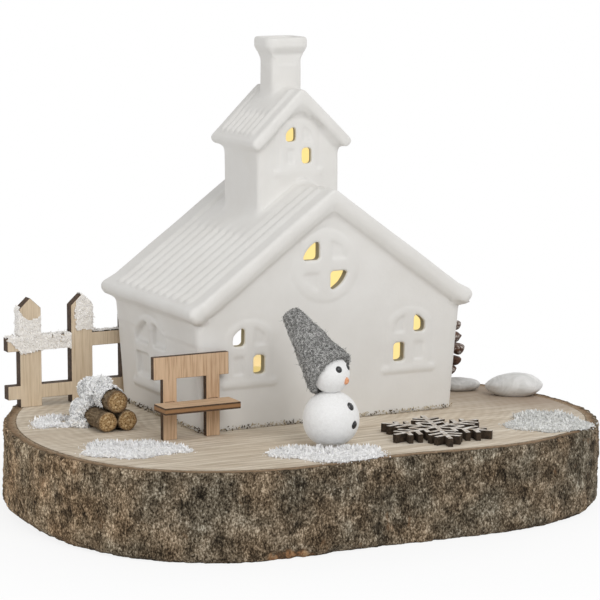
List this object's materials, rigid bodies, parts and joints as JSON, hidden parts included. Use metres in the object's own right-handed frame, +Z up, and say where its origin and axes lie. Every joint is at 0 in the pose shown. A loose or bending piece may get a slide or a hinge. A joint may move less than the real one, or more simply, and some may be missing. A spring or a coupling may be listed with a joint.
{
  "type": "ceramic christmas village house",
  "caption": "White ceramic light house with ribbed roof, tower and chimney on a tree slice, with a snowman, bench, fence and logs, lit by a small electric tea light inside.",
  "frame": {"origin": "middle of the tree slice's underside, centred on the overall box in X and Y", "axes": "+Z up, -Y the way the gable front faces, +X along the gable to its right, which is the longest extent"},
  "size_m": [0.2024, 0.1698, 0.1623],
  "materials": {
    "slice_wood": "sawn, unfinished, faint grain",
    "bark": "rough natural bark",
    "ceramic": "matt white bisque",
    "plywood": "laser-cut birch plywood with burnt edges",
    "snow": "loose white artificial snow flakes set in glue",
    "twig": "twig with bark and sawn ends",
    "cotton": "pressed cotton, matt white",
    "felt": "grey melange felt",
    "nose_orange": "matt orange",
    "black_bead": "gloss black",
    "flake_wood": "laser-cut plywood, whitewashed top, burnt edges",
    "cone_wood": "dry pine cone",
    "pebble": "smooth white stone",
    "light_plastic": "moulded white plastic",
    "flame_plastic": "frosted warm plastic",
    "led_epoxy": "clear warm epoxy",
    "cell_steel": "brushed nickel-plated steel",
    "contact_brass": "sprung brass strip",
    "screw_steel": "zinc-plated steel",
    "switch_plastic": "moulded black plastic"
  },
  "bodies": {
    "slice": {"wood_slice": "slice_wood", "bark_rim": "bark", "picket_fence": "plywood", "fence_snow": "snow", "bench_back": "plywood", "bench_seat": "plywood", "log_left": "twig", "log_right": "twig", "log_top": "twig", "log_snow": "snow", "snowman_body": "cotton", "snowman_head": "cotton", "snowman_hat": "felt", "snowman_nose": "nose_orange", "snowman_eyes": "black_bead", "snowman_buttons": "black_bead", "wooden_snowflake": "flake_wood", "pine_cone": "cone_wood", "pebble_large": "pebble", "pebble_small": "pebble", "snow_patch_front_left": "snow", "snow_patch_front": "snow", "snow_patch_right": "snow", "snow_patch_logs": "snow"},
    "house": {"ceramic_house": "ceramic"},
    "tealight": {"tealight_cup": "light_plastic", "tealight_base": "light_plastic", "tealight_flame": "flame_plastic", "tealight_led": "led_epoxy", "coin_cell": "cell_steel", "cell_contact_upper": "contact_brass", "cell_contact_side": "contact_brass", "battery_door": "light_plastic", "battery_door_screw": "screw_steel"},
    "switch": {"tealight_switch": "switch_plastic"}
  },
  "joints": [
    {"name": "house_lift", "type": "slide", "parent": "slice", "child": "house", "axis": [0, 0, 1], "range_m": [0, 0.15]},
    {"name": "tealight_slide", "type": "slide", "parent": "slice", "child": "tealight", "axis": [0, 1, 0], "range_m": [0, 0.06]},
    {"name": "switch_slide", "type": "slide", "parent": "tealight", "child": "switch", "axis": [1, 0, 0], "range_m": [0, 0.003]}
  ]
}
